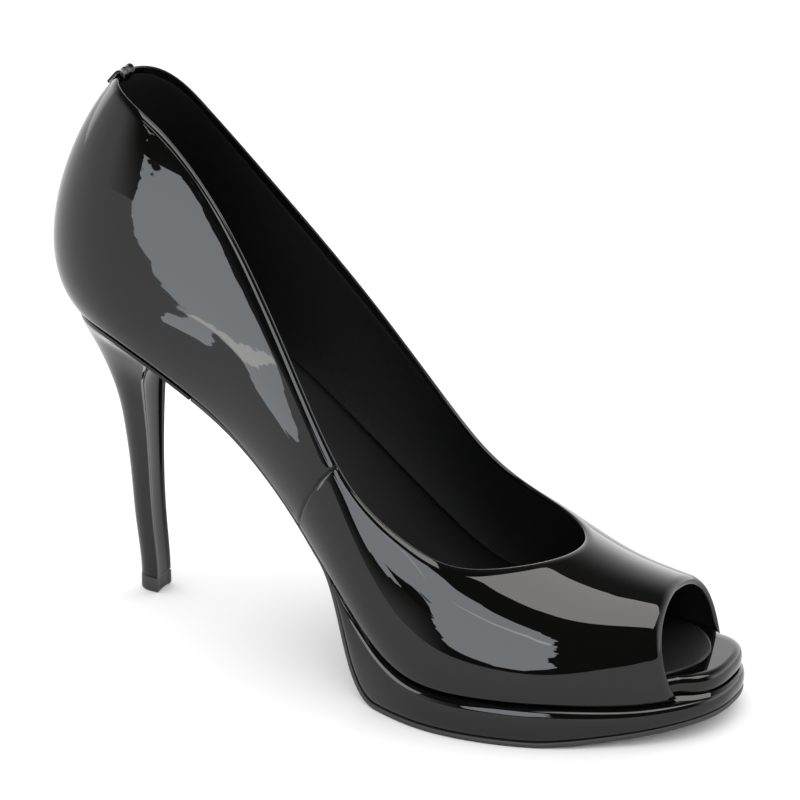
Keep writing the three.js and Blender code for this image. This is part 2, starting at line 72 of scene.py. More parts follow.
SEAT_CENTRE = 0.172
HEEL_BREAST = 0.239
THROAT = 0.788
TOE_OPENING = 0.921
TOE_ROUND = 0.9
INNER_SLANT = 0.037
OUTER_SLANT = 0.03
TIP_INSET = 1.4
TOE_MARGIN = 2.3
SEAT_INSET = 4.4
TIP_SHIFT = 6.5
ROUND_POWER = 2.2
TOE_POWER = 2.5
INNER_OPENING = 1.05
OUTER_OPENING = 2.0
BACK_BULGE = 0.285
BACK_SHOULDER = 0.74


def spline(xs, ys):
    """Smooth curve through the rows of one column, level at both ends."""
    n = len(xs)
    step = [xs[i + 1] - xs[i] for i in range(n - 1)]
    slope = [(ys[i + 1] - ys[i]) / step[i] for i in range(n - 1)]
    diagonal = []
    right = []
    for i in range(n):
        before = step[i - 1] if i > 0 else 0.0
        after = step[i] if i < n - 1 else 0.0
        diagonal.append(2 * (before + after))
        rise = slope[i] if i < n - 1 else 0.0
        fall = slope[i - 1] if i > 0 else 0.0
        right.append(6 * (rise - fall))
    for i in range(1, n):
        share = step[i - 1] / diagonal[i - 1]
        diagonal[i] -= share * step[i - 1]
        right[i] -= share * right[i - 1]
    bend = [0.0] * n
    for i in reversed(range(n)):
        following = step[i] * bend[i + 1] if i < n - 1 else 0.0
        bend[i] = (right[i] - following) / diagonal[i]

    def value(x):
        if x <= xs[0]:
            return ys[0]
        if x >= xs[-1]:
            return ys[-1]
        i = 0
        while x > xs[i + 1]:
            i += 1
        h = step[i]
        a = (xs[i + 1] - x) / h
        b = (x - xs[i]) / h
        curve = (a**3 - a) * bend[i] + (b**3 - b) * bend[i + 1]
        return a * ys[i] + b * ys[i + 1] + curve * h * h / 6

    return value


def table(names, rows):
    stations = [row[0] for row in rows]
    columns = {}
    for k, name in enumerate(names[1:]):
        columns[name] = spline(stations, [row[k + 1] for row in rows])
    return columns


RIM = table(
    ["station", "rise"],
    [
        [-0.06, 1.0],
        [0.02, 0.999],
        [0.1, 0.983],
        [0.2, 0.875],
        [0.3, 0.712],
        [0.4, 0.48],
        [0.5, 0.221],
        [0.58, 0.054],
        [0.65, 0.004],
        [0.72, 0.0],
        [0.8, 0.0],
    ],
)
SECTION = table(
    ["station", "inner", "outer", "inner_bulge", "outer_bulge", "lift", "ridge", "shoulder"],
    [
        [0.172, 0.298, 0.318, 0.091, 0.091, 0.22, 0.87, 0.9],
        [0.3, 0.295, 0.325, 0.12, 0.1, 0.24, 0.88, 0.9],
        [0.42, 0.346, 0.373, 0.136, 0.095, 0.26, 0.804, 0.86],
        [0.54, 0.458, 0.446, 0.098, 0.073, 0.28, 0.627, 0.8],
        [0.64, 0.528, 0.484, 0.056, 0.046, 0.3, 0.503, 0.76],
        [0.74, 0.504, 0.454, 0.037, 0.037, 0.3, 0.407, 0.77],
        [0.84, 0.403, 0.372, 0.032, 0.032, 0.3, 0.328, 0.84],
        [0.94, 0.262, 0.292, 0.029, 0.035, 0.3, 0.272, 0.98],
        [1.02, 0.205, 0.236, 0.029, 0.035, 0.3, 0.235, 0.98],
    ],
)
COLLAR_ROWS = [
    [0.0, 1.035, 1.035],
    [0.09, 1.035, 1.035],
    [0.16, 1.013, 0.937],
    [0.28, 0.895, 0.742],
    [0.4, 0.678, 0.662],
    [0.5, 0.525, 0.624],
    [0.58, 0.52, 0.598],
    [0.65, 0.49, 0.541],
]
UNDERSIDE = table(
    ["station", "share"],
    [
        [0.44, 1.0],
        [0.47, 0.975],
        [0.488, 0.79],
        [0.503, 0.53],
        [0.52, 0.27],
        [0.54, 0.085],
        [0.57, 0.0],
    ],
)
DROP = table(["station", "share"], [[0.8, 0.0], [0.92, 1.0]])
SOLE_MARGIN = table(
    ["station", "margin"],
    [
        [0.2, -0.3],
        [0.44, -0.25],
        [0.54, 0.15],
        [0.62, 0.3],
        [0.7, 0.35],
        [0.8, 0.45],
        [0.9, 0.5],
        [0.96, 0.55],
        [1.0, TOE_MARGIN / SOLE_EDGE],
    ],
)
INSOLE = table(
    ["station", "inset", "thickness"],
    [
        [0.7, 1.0, 0.0],
        [0.86, 1.0, 0.8],
        [0.92, 1.0, 1.0],
        [0.952, 1.0, 1.0],
        [0.968, 0.05, 1.0],
        [0.985, -0.75, 1.0],
        [1.0, -0.8, 1.0],
    ],
)
HEEL = table(
    ["height", "rear", "front", "half", "hollow"],
    [
        [0.0, 0.391, 0.545, 0.172, 0.1],
        [0.2, 0.359, 0.525, 0.182, 0.14],
        [0.4, 0.333, 0.512, 0.2, 0.16],
        [0.55, 0.302, 0.51, 0.23, 0.17],
        [0.68, 0.257, 0.508, 0.285, 0.17],
        [0.79, 0.18, 0.525, 0.38, 0.14],
        [0.88, 0.105, 0.585, 0.55, 0.09],
        [0.95, 0.04, 0.74, 0.77, 0.04],
        [1.0, 0.006, 1.0, 0.98, 0.03],
    ],
)

# The frame's origin lies under the middle of the whole shoe; the source measures x from
# the back of the seat and y from the middle line of the heel.
MIDDLE = Vector(
    (
        SHOE_LENGTH - TIP_INSET + TOE_MARGIN - 1000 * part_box("outsole")[1].x,
        -500 * (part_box("top_piece")[0].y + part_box("top_piece")[1].y),
        0.0,
    )
)


def in_frame(p):
    """A point of the shoe in millimetres, in the row frame in metres."""
    return (p - MIDDLE) * 0.001


def lerp(a, b, t):
    return a + (b - a) * t


def smooth(low, high, x):
    t = min(1.0, max(0.0, (x - low) / (high - low)))
    return t * t * (3 - 2 * t)


seat_centre = SEAT_CENTRE * SHOE_LENGTH
last_tip = SHOE_LENGTH - TIP_INSET
ball_top = OUTSOLE_THICKNESS + GAP + PLATFORM_HEIGHT + GAP
breast = HEEL_BREAST * SHOE_LENGTH
back_seam = -math.pi / 2 * seat_centre
opening_along = TOE_OPENING * SHOE_LENGTH - seat_centre
throat_along = THROAT * SHOE_LENGTH - seat_centre


def towards_tip(x):
    return max(0.0, (x / SHOE_LENGTH - 0.8) / 0.2)


def rim_height(x):
    rise = RIM["rise"](x / SHOE_LENGTH)
    return ball_top + (HEEL_HEIGHT - ball_top) * rise + RIM_SPRING * towards_tip(x) ** 2


def toe_closing(x):
    start = TOE_ROUND * SHOE_LENGTH
    t = min(1.0, max(0.0, (x - start) / (last_tip - start)))
    return (1 - t**TOE_POWER) ** (1 / TOE_POWER)


def middle_line(x):
    return TIP_SHIFT * max(0.0, (x / SHOE_LENGTH - 0.78) / 0.22) ** 2


def upper_drop(x):
    return UPPER_DROP * DROP["share"](x / SHOE_LENGTH)


def half_width(x, side):
    column = "inner" if side < 0 else "outer"
    return SECTION[column](x / SHOE_LENGTH) * BALL_WIDTH * toe_closing(x)


def last_point(along, around, side):
    """A point of the last: along from the seat's centre, around from the rim to the ridge."""
    turn = max(0.0, -along) / seat_centre
    x = seat_centre + max(0.0, along)
    u = x / SHOE_LENGTH
    half = half_width(x, side)
    sin = math.sin(turn)
    cos = math.cos(turn)
    back = sin * sin
    if along > 0:
        reach = half
    else:
        deep = abs(sin / (seat_centre - SEAT_INSET)) ** ROUND_POWER
        wide = abs(cos / half) ** ROUND_POWER
        reach = (deep + wide) ** (-1 / ROUND_POWER)
    side_bulge = SECTION["inner_bulge" if side < 0 else "outer_bulge"](u)
    bulge = lerp(side_bulge, BACK_BULGE, back) * BALL_WIDTH
    ridge = SECTION["ridge"](u) * CONE_HEIGHT
    lift = SECTION["lift"](u) * ridge
    shoulder = lerp(SECTION["shoulder"](u), BACK_SHOULDER, back)
    rest = 1 - around
    b0 = rest**3
    b1 = 3 * rest**2 * around
    b2 = 3 * rest * around**2
    b3 = around**3
    out = reach * b0 + (reach + bulge) * b1 + reach * shoulder * b2
    foot = UPPER_LIFT - upper_drop(x) * b0
    height = rim_height(x - reach * sin) + foot + lift * b1 + ridge * (b2 + b3)
    return Vector((x - out * sin, side * out * cos + middle_line(x), height))


def last_normal(along, around, side):
    e = 0.002
    du = last_point(along + 0.1, around, side) - last_point(along - 0.1, around, side)
    dv = last_point(along, around + e, side) - last_point(along, around - e, side)
    normal = du.cross(dv).normalized()
    return normal if side < 0 else -normal


throat_share = SECTION["ridge"](THROAT) * CONE_HEIGHT / COUNTER_HEIGHT
COLLAR = table(
    ["station", "inner", "outer"],
    COLLAR_ROWS
    + [[THROAT, throat_share, throat_share], [THROAT + 0.06, throat_share, throat_share]],
)


def collar_height(x, side):
    share = COLLAR["inner" if side < 0 else "outer"](x / SHOE_LENGTH)
    return rim_height(x) + UPPER_LIFT + COUNTER_HEIGHT * share


def collar_around(along, side):
    low, high = 0.0, 1.0
    for _ in range(30):
        middle = (low + high) / 2
        p = last_point(along, middle, side)
        if p.z > collar_height(p.x, side):
            high = middle
        else:
            low = middle
    return (low + high) / 2


class Edge:
    """An edge of the upper as a path over the last, read by the share of its length."""

    def __init__(self, pairs, side):
        self.pairs = pairs
        self.lengths = [0.0]
        points = [last_point(along, around, side) for along, around in pairs]
        for a, b in zip(points, points[1:]):
            self.lengths.append(self.lengths[-1] + (b - a).length)
        self.total = self.lengths[-1]

    def at(self, share):
        wanted = share * self.total
        i = 1
        while i < len(self.pairs) - 1 and self.lengths[i] < wanted:
            i += 1
        t = (wanted - self.lengths[i - 1]) / (self.lengths[i] - self.lengths[i - 1])
        a, b = self.pairs[i - 1], self.pairs[i]
        return lerp(a[0], b[0], t), lerp(a[1], b[1], t)

    def share_of(self, along):
        """Share at which the edge passes a place along the shoe, going to the heel."""
        low, high = 0.0, 1.0
        for _ in range(40):
            middle = (low + high) / 2
            if self.at(middle)[0] > along:
                low = middle
            else:
                high = middle
        return (low + high) / 2


def toe_slant(side):
    return (INNER_SLANT if side < 0 else OUTER_SLANT) * SHOE_LENGTH


def lower_edge(side):
    slant = toe_slant(side)
    curve = INNER_OPENING if side < 0 else OUTER_OPENING
    pairs = []
    for i in range(60):
        around = 1 - i / 60
        pairs.append((opening_along + slant * (1 - around) ** curve, around))
    for i in range(301):
        pairs.append((lerp(opening_along + slant, back_seam, i / 300), 0.0))
    return Edge(pairs, side)


def collar_edge(side):
    pairs = [(throat_along, 1.0)]
    for i in range(1, 241):
        along = lerp(throat_along, back_seam, (i / 240) ** 1.6)
        pairs.append((along, collar_around(along, side)))
    return Edge(pairs, side)


# Meshes


def finished(name, bm, materials, slot_name, *replaced, bevel=None):
    """A bmesh in millimetres becomes a piece of the shoe in the row frame."""
    for v in bm.verts:
        v.co = in_frame(v.co)
    bmesh.ops.recalc_face_normals(bm, faces=bm.faces)
    for f in bm.faces:
        f.smooth = True
    mesh = bpy.data.meshes.new(name)
    bm.to_mesh(mesh)
    bm.free()
    for material in materials:
        mesh.materials.append(material)
    piece = bpy.data.objects.new(name, mesh)
    bpy.context.scene.collection.objects.link(piece)
    if bevel:
        modifier = piece.modifiers.new("rounded_edges", "BEVEL")
        modifier.width = bevel * 0.001
        modifier.segments = 3
        modifier.limit_method = "ANGLE"
        modifier.angle_limit = math.radians(38)
        modifier.harden_normals = True
    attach(piece, "root")
    if replaced:
        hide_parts(*replaced)
    return piece


def mapped_grid(columns, rows, place, material_of=None):
    """A grid laid over place(column, row), welded where it closes on itself."""
    bm = bmesh.new()
    bmesh.ops.create_grid(bm, x_segments=columns, y_segments=rows, size=1.0, calc_uvs=True)
    spots = {}
    for v in bm.verts:
        i = round((v.co.x + 1) / 2 * columns)
        j = round((v.co.y + 1) / 2 * rows)
        spots[v.index] = (i, j)
    bm.verts.ensure_lookup_table()
    if material_of:
        for f in bm.faces:
            i = min(spots[v.index][0] for v in f.verts)
            j = min(spots[v.index][1] for v in f.verts)
            f.material_index = material_of(i, j)
    for v in bm.verts:
        v.co = place(*spots[v.index])
    bmesh.ops.remove_doubles(bm, verts=bm.verts, dist=0.002)
    return bm


def ring_grid(rings, material_of=None):
    """A tube through rings of points, one column to each ring."""
    rows = len(rings[0])
    return mapped_grid(
        len(rings) - 1, rows, lambda i, j: rings[i][j % rows].copy(), material_of
    )


def capped(bm):
    """Fills the open ends of a tube."""
    edges = [e for e in bm.edges if e.is_boundary]
    made = bmesh.ops.edgeloop_fill(bm, edges=edges, mat_nr=0)
    bmesh.ops.triangulate(bm, faces=made["faces"])


# Upper

SEAM_FOOT = 55.3  # side seam at the rim and at the collar, mm in front of the seat's centre
SEAM_TOP = 70.0
SEAM_BOW = -1.5
FOLD_DEPTH = 3.0  # patent leather folded in over the lining
UPPER_COLUMNS = 150


class UpperSide:
    """Ribs of one side of the upper, turned so that one of them follows the side seam."""

    def __init__(self, side):
        self.side = side
        self.lower = lower_edge(side)
        self.upper = collar_edge(side)
        foot = self.lower.share_of(SEAM_FOOT)
        top = self.upper.share_of(SEAM_TOP)
        self.seam = (foot + top) / 2
        self.turn_foot = foot - self.seam
        self.turn_top = top - self.seam
        self.corner = self.lower.share_of(opening_along + toe_slant(side) - 0.01)

    def rib(self, c):
        """Ends of a rib and its length."""
        width = min(self.seam, 1 - self.seam)
        near = max(0.0, 1 - ((c - self.seam) / width) ** 2) ** 2
        lower = self.lower.at(min(1.0, c + self.turn_foot * near))
        upper = self.upper.at(min(1.0, c + self.turn_top * near))
        bow = SEAM_BOW * near**4
        a = last_point(*lower, self.side)
        b = last_point(*upper, self.side)
        m = self.place(lower, upper, bow, 0.5)
        p = last_point(*m, self.side)
        return lower, upper, bow, (p - a).length + (b - p).length

    @staticmethod
    def place(lower, upper, bow, t):
        along = lerp(lower[0], upper[0], t) + bow * 4 * t * (1 - t)
        return along, lerp(lower[1], upper[1], t)


def rib_columns(side):
    """Columns of one side from the toe opening to the back seam, closer at the side seam."""
    columns = []
    for i in range(UPPER_COLUMNS + 1):
        t = i / UPPER_COLUMNS
        columns.append(0.62 * t + 0.38 * t**1.8)
    if side.side < 0:
        pace = (side.lower.total + side.upper.total) / 2
        beside = [0.0, 0.12, 0.25, 0.4, 0.6, 0.9, 1.3]
        columns = [c for c in columns if abs(c - side.seam) * pace > 1.7]
        columns += [side.seam + d / pace for d in beside]
        columns += [side.seam - d / pace for d in beside[1:]]
    return sorted(columns)


EDGE_STEPS = [0.0, 0.3, 0.7, 1.1, 1.6, 2.1, 2.8, 3.6]
FOLD_STEPS = [0.0, 0.5, 1.1, 1.8, 2.4, 2.85, 3.0, 3.15, 3.6]
BODY_STEPS = 18
FOLD_TURNS = 5
SEAM_GROOVE = 0.42  # depths and widths in mm of the side seam and of the edges
SEAM_WIDTH = 0.32
SEAM_DIP = 0.1
SEAM_DIP_WIDTH = 1.1
BEAD = 0.42
BEAD_WIDTH = 2.0
ROUNDED = 0.28
ROUNDED_WIDTH = 1.6
LASTED = 0.75
LASTED_WIDTH = 2.6
LINING_STEP = 0.12
LINING_GROOVE = 0.3
LINING_ROUNDED = 0.25
FOLD_ROUND = 0.55
LASTED_ROUND = 0.3


def rows_between(length, from_steps, to_steps, body):
    """Shares of a rib's length, closer together at both of its ends."""
    start = [d / length for d in from_steps]
    end = [1 - d / length for d in reversed(to_steps)]
    gap = end[0] - start[-1]
    inside = [start[-1] + gap * (i + 1) / (body + 1) for i in range(body)]
    return start + inside + end


def upper_rib(side, c):
    """One closed section: up the outer face, over the collar, down the lining, under the rim."""
    lower, upper, bow, length = side.rib(c)
    hole = 1 - smooth(side.corner - 0.012, side.corner + 0.004, c)
    pace = (side.lower.total + side.upper.total) / 2
    from_seam = abs(c - side.seam) * pace if side.side < 0 else 99.0
    seam = SEAM_GROOVE * math.exp(-((from_seam / SEAM_WIDTH) ** 2))
    seam += SEAM_DIP * math.exp(-((from_seam / SEAM_DIP_WIDTH) ** 2))

    def wall(t):
        along, around = side.place(lower, upper, bow, t)
        return last_point(along, around, side.side), last_normal(along, around, side.side)

    outer = []
    for t in rows_between(length, EDGE_STEPS, EDGE_STEPS, BODY_STEPS):
        p, n = wall(t)
        from_top = (1 - t) * length
        from_foot = t * length
        tuck = BEAD * max(0.0, 1 - from_top / BEAD_WIDTH) ** 2
        tuck += seam
        folded = ROUNDED * max(0.0, 1 - from_foot / ROUNDED_WIDTH) ** 2
        lasted = LASTED * max(0.0, 1 - from_foot / LASTED_WIDTH) ** 2
        tuck += lerp(lasted, folded, hole)
        outer.append(p - n * tuck)
    inner = []
    lip = min(1.0, max(0.0, (lower[1] - 0.12) / 0.1)) * (LIP_WALL - UPPER_WALL)
    for t in reversed(rows_between(length, FOLD_STEPS, FOLD_STEPS, BODY_STEPS)):
        p, n = wall(t)
        thick = UPPER_WALL + lip * max(0.0, 1 - t * length / LIP_DEPTH)
        groove = 0.0
        rounding = 0.0
        for d, share in (((1 - t) * length, 1.0), (t * length, hole)):
            groove += share * LINING_GROOVE * math.exp(-(((d - FOLD_DEPTH) / 0.14) ** 2))
            level = smooth(FOLD_DEPTH - 0.2, FOLD_DEPTH + 0.2, d)
            groove += share * (LINING_STEP * level - LINING_STEP)
            rounding += share * LINING_ROUNDED * max(0.0, 1 - d / ROUNDED_WIDTH) ** 2
        inner.append(p - n * (thick - LINING_STEP - groove - rounding))

    def turned(a, b, before, height):
        centre = (a + b) / 2
        across = (a - b) / 2
        up = (a - before).normalized()
        points = []
        for i in range(1, FOLD_TURNS):
            angle = math.pi * i / FOLD_TURNS
            points.append(centre + across * math.cos(angle) + up * height * math.sin(angle))
        return points

    top = turned(outer[-1], inner[0], outer[-2], FOLD_ROUND)
    bottom = turned(inner[-1], outer[0], inner[-2], lerp(LASTED_ROUND, FOLD_ROUND, hole))
    return outer + top + inner + bottom


def make_upper(patent, lining):
    sides = [UpperSide(1), UpperSide(-1)]
    lateral = [(sides[0], c) for c in rib_columns(sides[0])]
    medial = [(sides[1], c) for c in rib_columns(sides[1])]
    order = lateral + list(reversed(medial))[1:]
    order[-1] = lateral[0]
    ribs = [upper_rib(side, c) for side, c in order[:-1]]
    ribs.append(ribs[0])
    outer_rows = 2 * len(EDGE_STEPS) + BODY_STEPS
    lining_start = outer_rows + FOLD_TURNS - 1 + FOLD_STEPS.index(3.15) - 1
    lining_end = outer_rows + FOLD_TURNS - 1 + 2 * len(FOLD_STEPS) + BODY_STEPS - 1
    hole_end = lining_end - FOLD_STEPS.index(3.0) - 1

    def material_of(i, j):
        side, c = order[min(i, len(order) - 1)]
        end = hole_end if c < side.corner else lining_end
        return 1 if lining_start <= j < end else 0

    bm = ring_grid(ribs, material_of)
    return finished("upper_shell", bm, [patent, lining], "patent_leather", "upper")


# Sole


def underside(x):
    full = rim_height(x) - GAP - OUTSOLE_THICKNESS
    share = UNDERSIDE["share"](x / SHOE_LENGTH)
    return full * share + TOE_SPRING * towards_tip(x) ** 1.3


def profile_above(thickness):
    points = []
    for i in range(601):
        x = lerp(0, SHOE_LENGTH * 1.05, i / 600)
        slope = (underside(x + 0.1) - underside(x - 0.1)) / 0.2
        length = math.hypot(1, slope)
        points.append((x - slope / length * thickness, underside(x) + thickness / length))

    def height(x):
        i = 1
        while i < len(points) - 1 and points[i][0] < x:
            i += 1
        (x0, z0), (x1, z1) = points[i - 1], points[i]
        return lerp(z0, z1, (x - x0) / (x1 - x0))

    return height


outsole_top = profile_above(OUTSOLE_THICKNESS)
platform_bottom = profile_above(OUTSOLE_THICKNESS + GAP)


def sole_margin(x, side):
    return SOLE_EDGE * SOLE_MARGIN["margin"](x / SHOE_LENGTH)


def insole_edge(x, side):
    u = x / SHOE_LENGTH
    left = max(0.0, (last_tip - x) / SHOE_LENGTH)
    shift = (INNER_SLANT - OUTER_SLANT) * min(1.0, left / 0.04) if side < 0 else 0.0
    return -INSOLE_INSET * INSOLE["inset"](u - shift)


def plan_edge(side, start, pitches):
    """The rim's outline from the rear to the tip with its outward direction.

    pitches holds pairs: up to this x, steps of this length.
    """
    closing = TOE_ROUND * SHOE_LENGTH
    alongs = []
    along = start
    while along + seat_centre < closing:
        alongs.append(along)
        along += next(step for limit, step in pitches if along + seat_centre < limit)
    tip_steps = 46
    for i in range(tip_steps + 1):
        s = 1 - i / tip_steps
        alongs.append(last_tip - (last_tip - closing) * s**TOE_POWER - seat_centre)
    points = [last_point(a, 0, side) for a in alongs]
    edge = []
    for i, p in enumerate(points):
        before = points[max(0, i - 1)]
        after = points[min(len(points) - 1, i + 1)]
        out = Vector((after.y - before.y, before.x - after.x, 0)).normalized()
        if side > 0:
            out.negate()
        if i == len(points) - 1:
            out = Vector((1, 0, 0))
        if i == 0:
            out = Vector((-1, 0, 0)) if start == back_seam else Vector((0, side, 0))
        edge.append((p, out))
    return edge


def sole_layer(start, pitches, profile, crosses, relief=None):
    """Sections of a closed slab. profile holds pairs from the bottom to the top of its edge:
    how far outside the rim of the last, and how high, both by the place along the shoe."""
    halves = [plan_edge(side, start, pitches) for side in (-1, 1)]

    def spot(half, i, offset, height):
        p, out = halves[half][i]
        d = offset(p.x, (-1, 1)[half])
        x = p.x + out.x * d
        y = p.y + out.y * d
        return Vector((x, y, height(x)))

    sections = []
    for i in range(len(halves[0])):
        bottom = [spot(half, i, *profile[0]) for half in (0, 1)]
        top = [spot(half, i, *profile[-1]) for half in (0, 1)]
        loop = []
        for k in range(crosses + 1):
            f = k / crosses
            f = lerp(f, f * f * (3 - 2 * f), 0.6)
            p = bottom[0].lerp(bottom[1], f)
            p.z = profile[0][1](p.x)
            if relief:
                p.z += relief(p.x, p.y, (bottom[1] - bottom[0]).length * min(f, 1 - f))
            loop.append(p)
        for offset, height in profile[1:-1]:
            loop.append(spot(1, i, offset, height))
        for k in range(crosses + 1):
            p = top[1].lerp(top[0], k / crosses)
            p.z = profile[-1][1](p.x)
            loop.append(p)
        for offset, height in reversed(profile[1:-1]):
            loop.append(spot(0, i, offset, height))
        sections.append(loop)
    return sections


def edge_profile(rows, margin, low, high):
    """Rows of inset and height share become the functions that sole_layer takes."""
    return [
        (
            lambda x, side, inset=inset: margin(x, side) - inset,
            lambda x, share=share: lerp(low(x), high(x), share),
        )
        for inset, share in rows
    ]


def layer_mesh(sections):
    bm = ring_grid(sections)
    bmesh.ops.dissolve_degenerate(bm, dist=0.0005, edges=bm.edges)
    if any(e.is_boundary for e in bm.edges):
        capped(bm)
    return bm


RIB_PITCH = 2.05
RIB_DEPTH = 0.4
TREAD_EDGE = 3.2


def tread(x, y, from_side):
    """Fine cross ribs under the forefoot, inside an outline that follows the sole."""
    fore = smooth(0.565, 0.58, x / SHOE_LENGTH) * (1 - smooth(0.972, 0.98, x / SHOE_LENGTH))
    inside = smooth(TREAD_EDGE, TREAD_EDGE + 0.9, from_side)
    phase = (x - 0.045 * (y + 6) ** 2 / 10) / RIB_PITCH
    wave = 0.5 + 0.5 * math.cos(2 * math.pi * phase)
    return RIB_DEPTH * fore * inside * smooth(0.25, 0.75, wave)


def make_outsole(tread_rubber):
    def top(x):
        return min(outsole_top(x), rim_height(x) - GAP)

    rows = [(0.7, 0), (0.35, 0.04), (0.08, 0.16), (0, 0.36), (0, 0.8), (0.12, 0.93), (0.4, 1)]
    sections = sole_layer(
        breast + GAP - seat_centre,
        [(0.55 * SHOE_LENGTH, 1.1), (SHOE_LENGTH, 0.3)],
        edge_profile(rows, sole_margin, underside, top),
        26,
        tread,
    )
    bm = layer_mesh(sections)
    return finished("outsole_tread", bm, [tread_rubber], "sole_rubber", "outsole")


def platform_rear():
    x = 0.44 * SHOE_LENGTH
    while rim_height(x) - GAP - platform_bottom(x) < PLATFORM_REAR:
        x += 0.001 * SHOE_LENGTH
    return x


PLATFORM_LEDGE = 0.21  # clear of the footbed's edge, mm
PLATFORM_STEP = 0.15


def make_platform(patent):
    def top(x):
        return rim_height(x) - GAP

    def shoulder(x):
        return top(x) - upper_drop(x)

    def fullness(x):
        return min(1.0, (top(x) - platform_bottom(x)) / PLATFORM_HEIGHT)

    rows = [
        (0.6, 0.0),
        (0.2, 0.03),
        (0.0, 0.09),
        (-0.2, 0.22),
        (-0.33, 0.36),
        (-0.35, 0.48),
        (-0.3, 0.6),
        (-0.14, 0.72),
        (0.05, 0.81),
        (0.3, 0.885),
        (0.65, 0.945),
        (1.1, 0.982),
        (1.7, 1.0),
    ]

    def drawn_in(inset):
        return lambda x, side: max(
            sole_margin(x, side) - inset * fullness(x), insole_edge(x, side) + PLATFORM_LEDGE
        )

    profile = [
        (
            drawn_in(inset),
            lambda x, share=share: lerp(platform_bottom(x), shoulder(x), share),
        )
        for inset, share in rows
    ]
    profile.append((lambda x, side: insole_edge(x, side) + PLATFORM_STEP, shoulder))
    profile.append((insole_edge, top))
    sections = sole_layer(platform_rear() - seat_centre, [(SHOE_LENGTH, 0.9)], profile, 10)
    bm = layer_mesh(sections)
    return finished("platform_wrap", bm, [patent], "patent_leather", "platform")


def insole_top(x):
    share = INSOLE["thickness"](x / SHOE_LENGTH)
    return rim_height(x) + lerp(INSOLE_WAIST, INSOLE_RIM, share)


INSOLE_REACH = 1.55  # farthest that the footbed draws in behind the rim, mm


def make_insole(patent):
    def margin(x, side):
        return max(insole_edge(x, side), -INSOLE_REACH)

    rows = [
        (0.9, 0.0),
        (0.4, 0.05),
        (0.08, 0.18),
        (-0.05, 0.34),
        (-0.05, 0.52),
        (0.06, 0.66),
        (0.3, 0.79),
        (0.7, 0.89),
        (1.25, 0.96),
        (2.2, 1.0),
    ]
    sections = sole_layer(
        back_seam,
        [(0.3 * SHOE_LENGTH, 1.6), (SHOE_LENGTH, 1.0)],
        edge_profile(rows, margin, rim_height, insole_top),
        14,
    )
    bm = layer_mesh(sections)
    return finished("insole_wrap", bm, [patent], "patent_leather", "insole")


SOCK_FRONT = 0.964  # front end, as a share of the shoe's length
SOCK_REAR = 4.5
SOCK_INSET = 3.4
SOCK_NOSE = 22.0
SOCK_RAISE = 0.45
SOCK_EDGE = 0.35
SOCK_BED = 0.02


def make_sock(lining):
    """The soft leather sock glued into the shoe, cut round behind the rim of the toe opening."""
    front = SOCK_FRONT * SHOE_LENGTH
    columns, rows = 150, 20

    def half(x, side):
        if x < seat_centre:
            deep = (seat_centre - x) / (seat_centre - SOCK_REAR)
            share = max(0.0, 1 - deep**ROUND_POWER) ** (1 / ROUND_POWER)
            wide = half_width(seat_centre, side) * share
        else:
            wide = half_width(x, side)
        nose = max(0.0, (x - front + SOCK_NOSE) / SOCK_NOSE)
        return max(0.0, wide - SOCK_INSET) * max(0.0, 1 - nose**2.4) ** (1 / 2.4)

    def place(i, j):
        s = i / columns
        s = 0.5 - 0.5 * math.cos(math.pi * s)
        x = lerp(SOCK_REAR, front, s)
        f = 2 * j / rows - 1
        f = math.sin(math.pi / 2 * f)
        side = -1 if f < 0 else 1
        y = f * half(x, side) + middle_line(x)
        edge = 1 - abs(f)
        puff = SOCK_RAISE * smooth(0, 0.05, edge) * smooth(0, 0.004, min(s, 1 - s))
        return Vector((x, y, insole_top(x) + SOCK_BED + puff))

    bm = mapped_grid(columns, rows, place)
    bmesh.ops.dissolve_degenerate(bm, dist=0.0005, edges=bm.edges)
    rim = [e for e in bm.edges if e.is_boundary]
    down = bmesh.ops.extrude_edge_only(bm, edges=rim)
    for v in down["geom"]:
        if isinstance(v, bmesh.types.BMVert):
            v.co.z -= SOCK_EDGE
    capped(bm)
    return finished("sock", bm, [lining], "insole_leather")


# Heel


def heel_ring(share, grow=0.0, steps=26):
    """Ring of the heel: the seat's outline drawn in, with a hollow breast between two lips."""
    halves = []
    for side in (-1, 1):
        points = []
        for i in range(steps + 1):
            along = lerp(back_seam, breast - seat_centre, (i / steps) ** 1.1)
            p = last_point(along, 0, side)
            points.append((p.x / breast, p.y / (half_width(seat_centre, side) + GAP)))
        halves.append(points)
    rear = HEEL["rear"](share) * breast - grow
    front = HEEL["front"](share) * breast + grow
    wide = HEEL["half"](share) * half_width(seat_centre, -1) + grow
    hollow = HEEL["hollow"](share) * wide

    def place(pair):
        return Vector((lerp(rear, front, pair[0]), pair[1] * wide, 0))

    inner = [place(p) for p in halves[0]]
    outer = [place(p) for p in halves[1]]
    edge = []
    spots = [0.03, 0.07, 0.11, 0.14, 0.17, 0.22, 0.3, 0.4, 0.5]
    spots += [1 - t for t in reversed(spots[:-1])]
    for t in spots:
        p = inner[-1].lerp(outer[-1], t)
        near = min(t, 1 - t)
        dip = smooth(0.11, 0.2, near) * 0.45 + math.sin(math.pi * t) * 0.6
        p.x -= hollow * dip
        edge.append(p)
    return inner + edge + list(reversed(outer[1:]))


